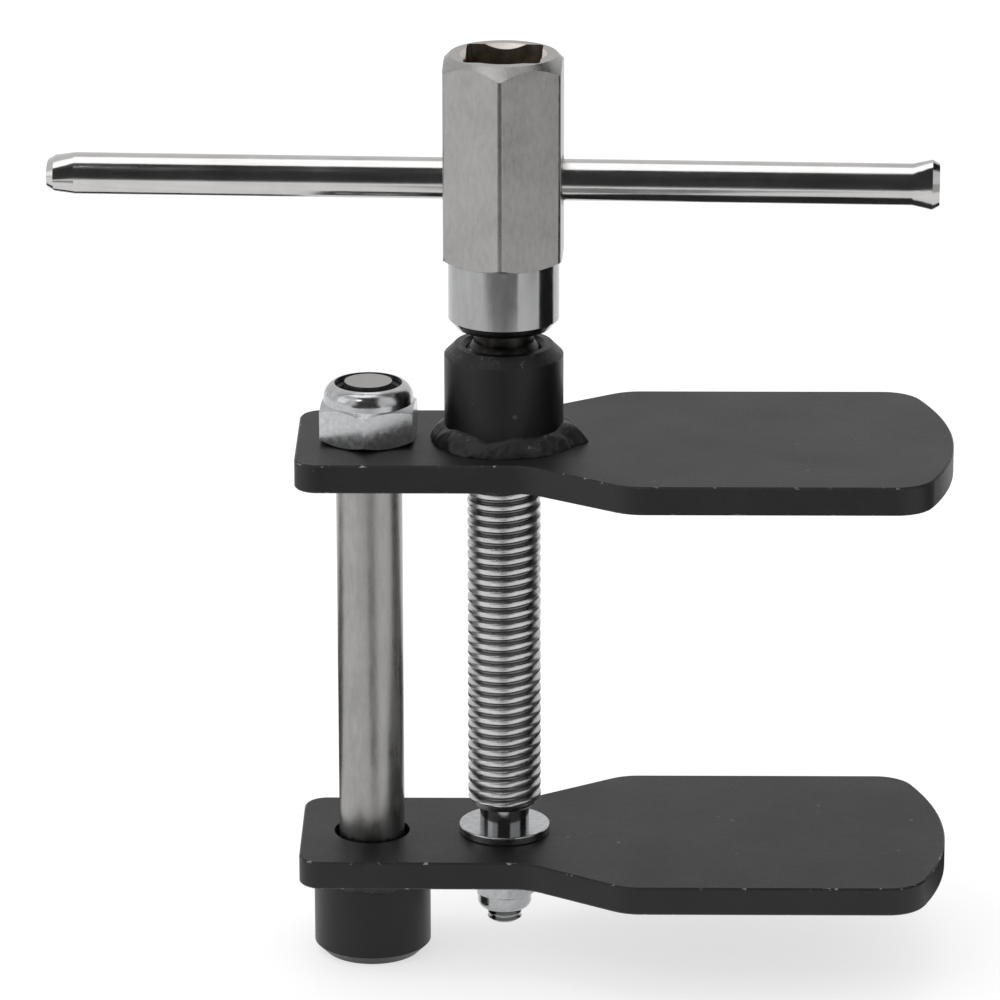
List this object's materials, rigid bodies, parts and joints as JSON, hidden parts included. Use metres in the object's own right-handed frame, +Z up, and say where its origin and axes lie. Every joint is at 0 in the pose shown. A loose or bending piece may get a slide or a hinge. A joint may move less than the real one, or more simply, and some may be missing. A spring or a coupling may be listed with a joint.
{
  "type": "brake caliper piston spreader",
  "caption": "Hand tool with two paddle jaws that a screw drives apart along a guide post, turned by a sliding T-bar, a wrench or a square drive.",
  "frame": {"origin": "on the drive screw's axis, at the level of the guide sleeve's bottom rim, which is the centre of the bounding box's bottom face in the rest pose with the jaws fully open", "axes": "+Z up along the drive screw towards its hexagon head, +X from the screw towards the rounded paddle tips, +Y across the jaws"},
  "size_m": [0.1545, 0.054, 0.162],
  "materials": {
    "black_plate": "satin black phosphate with worn edges",
    "black_tube": "satin black",
    "black_weld": "matte black, rippled",
    "chrome_screw": "satin chrome plate",
    "chrome_bar": "bright chrome plate",
    "zinc": "zinc plate",
    "ground_steel": "plain ground steel",
    "nylon": "dark nylon"
  },
  "bodies": {
    "lower_jaw": {"lower_plate": "black_plate", "guide_sleeve": "black_tube", "sleeve_weld": "black_weld"},
    "screw": {"drive_screw": "chrome_screw", "thrust_washer": "zinc", "nut_washer": "zinc", "screw_lock_nut": "zinc", "screw_nut_insert": "nylon"},
    "handle": {"t_bar": "chrome_bar"},
    "upper_jaw": {"upper_plate": "black_plate", "threaded_boss": "black_tube", "boss_weld": "black_weld", "guide_post": "ground_steel", "post_lock_nut": "zinc", "post_nut_insert": "nylon"}
  },
  "joints": [
    {"name": "jaw_travel", "type": "slide", "parent": "lower_jaw", "child": "upper_jaw", "axis": [0, 0, -1], "range_m": [-0.002, 0.064]},
    {"name": "screw_spin", "type": "hinge", "parent": "lower_jaw", "child": "screw", "pos_m": [0, 0, 0.1], "axis": [0, 0, 1], "range_deg": [-369, 11794]},
    {"name": "bar_slide", "type": "slide", "parent": "screw", "child": "handle", "axis": [0.999, -0.0454, 0], "range_m": [-0.0585, 0.0625]}
  ],
  "couplings": [
    {"joint": "screw_spin", "follows": "jaw_travel", "rad_per_m": 3215.8}
  ]
}
